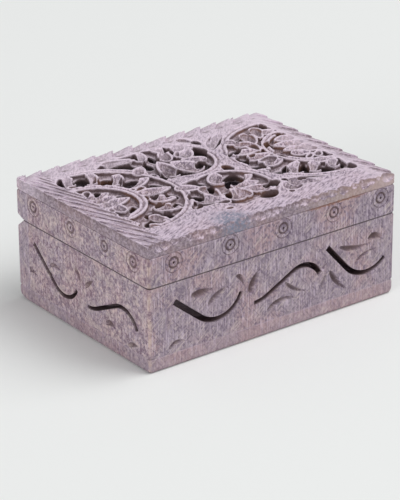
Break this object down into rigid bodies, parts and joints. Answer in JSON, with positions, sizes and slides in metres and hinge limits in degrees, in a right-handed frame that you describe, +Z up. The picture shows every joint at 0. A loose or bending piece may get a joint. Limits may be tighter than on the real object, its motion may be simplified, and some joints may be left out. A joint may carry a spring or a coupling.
{
  "type": "carved stone trinket box",
  "caption": "Rectangular carved soapstone trinket box with curved slots in its walls and a pierced leaf-work lid that turns on wire hinges at the back.",
  "frame": {"origin": "middle of the base, on the surface the box stands on", "axes": "+X along the front to the right, +Y from the front to the hinged back, +Z up"},
  "size_m": [0.102, 0.075, 0.044],
  "materials": {
    "soapstone": "sawn and hand-carved soapstone, matt, mauve grey with pinkish cream flecks",
    "hinge_wire": "dull drawn brass wire"
  },
  "bodies": {
    "box": {"base_slab": "soapstone", "front_wall": "soapstone", "back_wall": "soapstone", "left_wall": "soapstone", "right_wall": "soapstone", "hinge_eye_left": "hinge_wire", "hinge_eye_right": "hinge_wire"},
    "lid": {"lid_panel": "soapstone", "lid_front_rim": "soapstone", "lid_back_rim": "soapstone", "lid_left_rim": "soapstone", "lid_right_rim": "soapstone", "hinge_staple_left": "hinge_wire", "hinge_staple_right": "hinge_wire"}
  },
  "joints": [
    {"name": "lid_hinge", "type": "hinge", "parent": "box", "child": "lid", "pos_m": [0, 0.0353, 0.0293], "axis": [-1, 0, 0], "range_deg": [0, 95]}
  ]
}
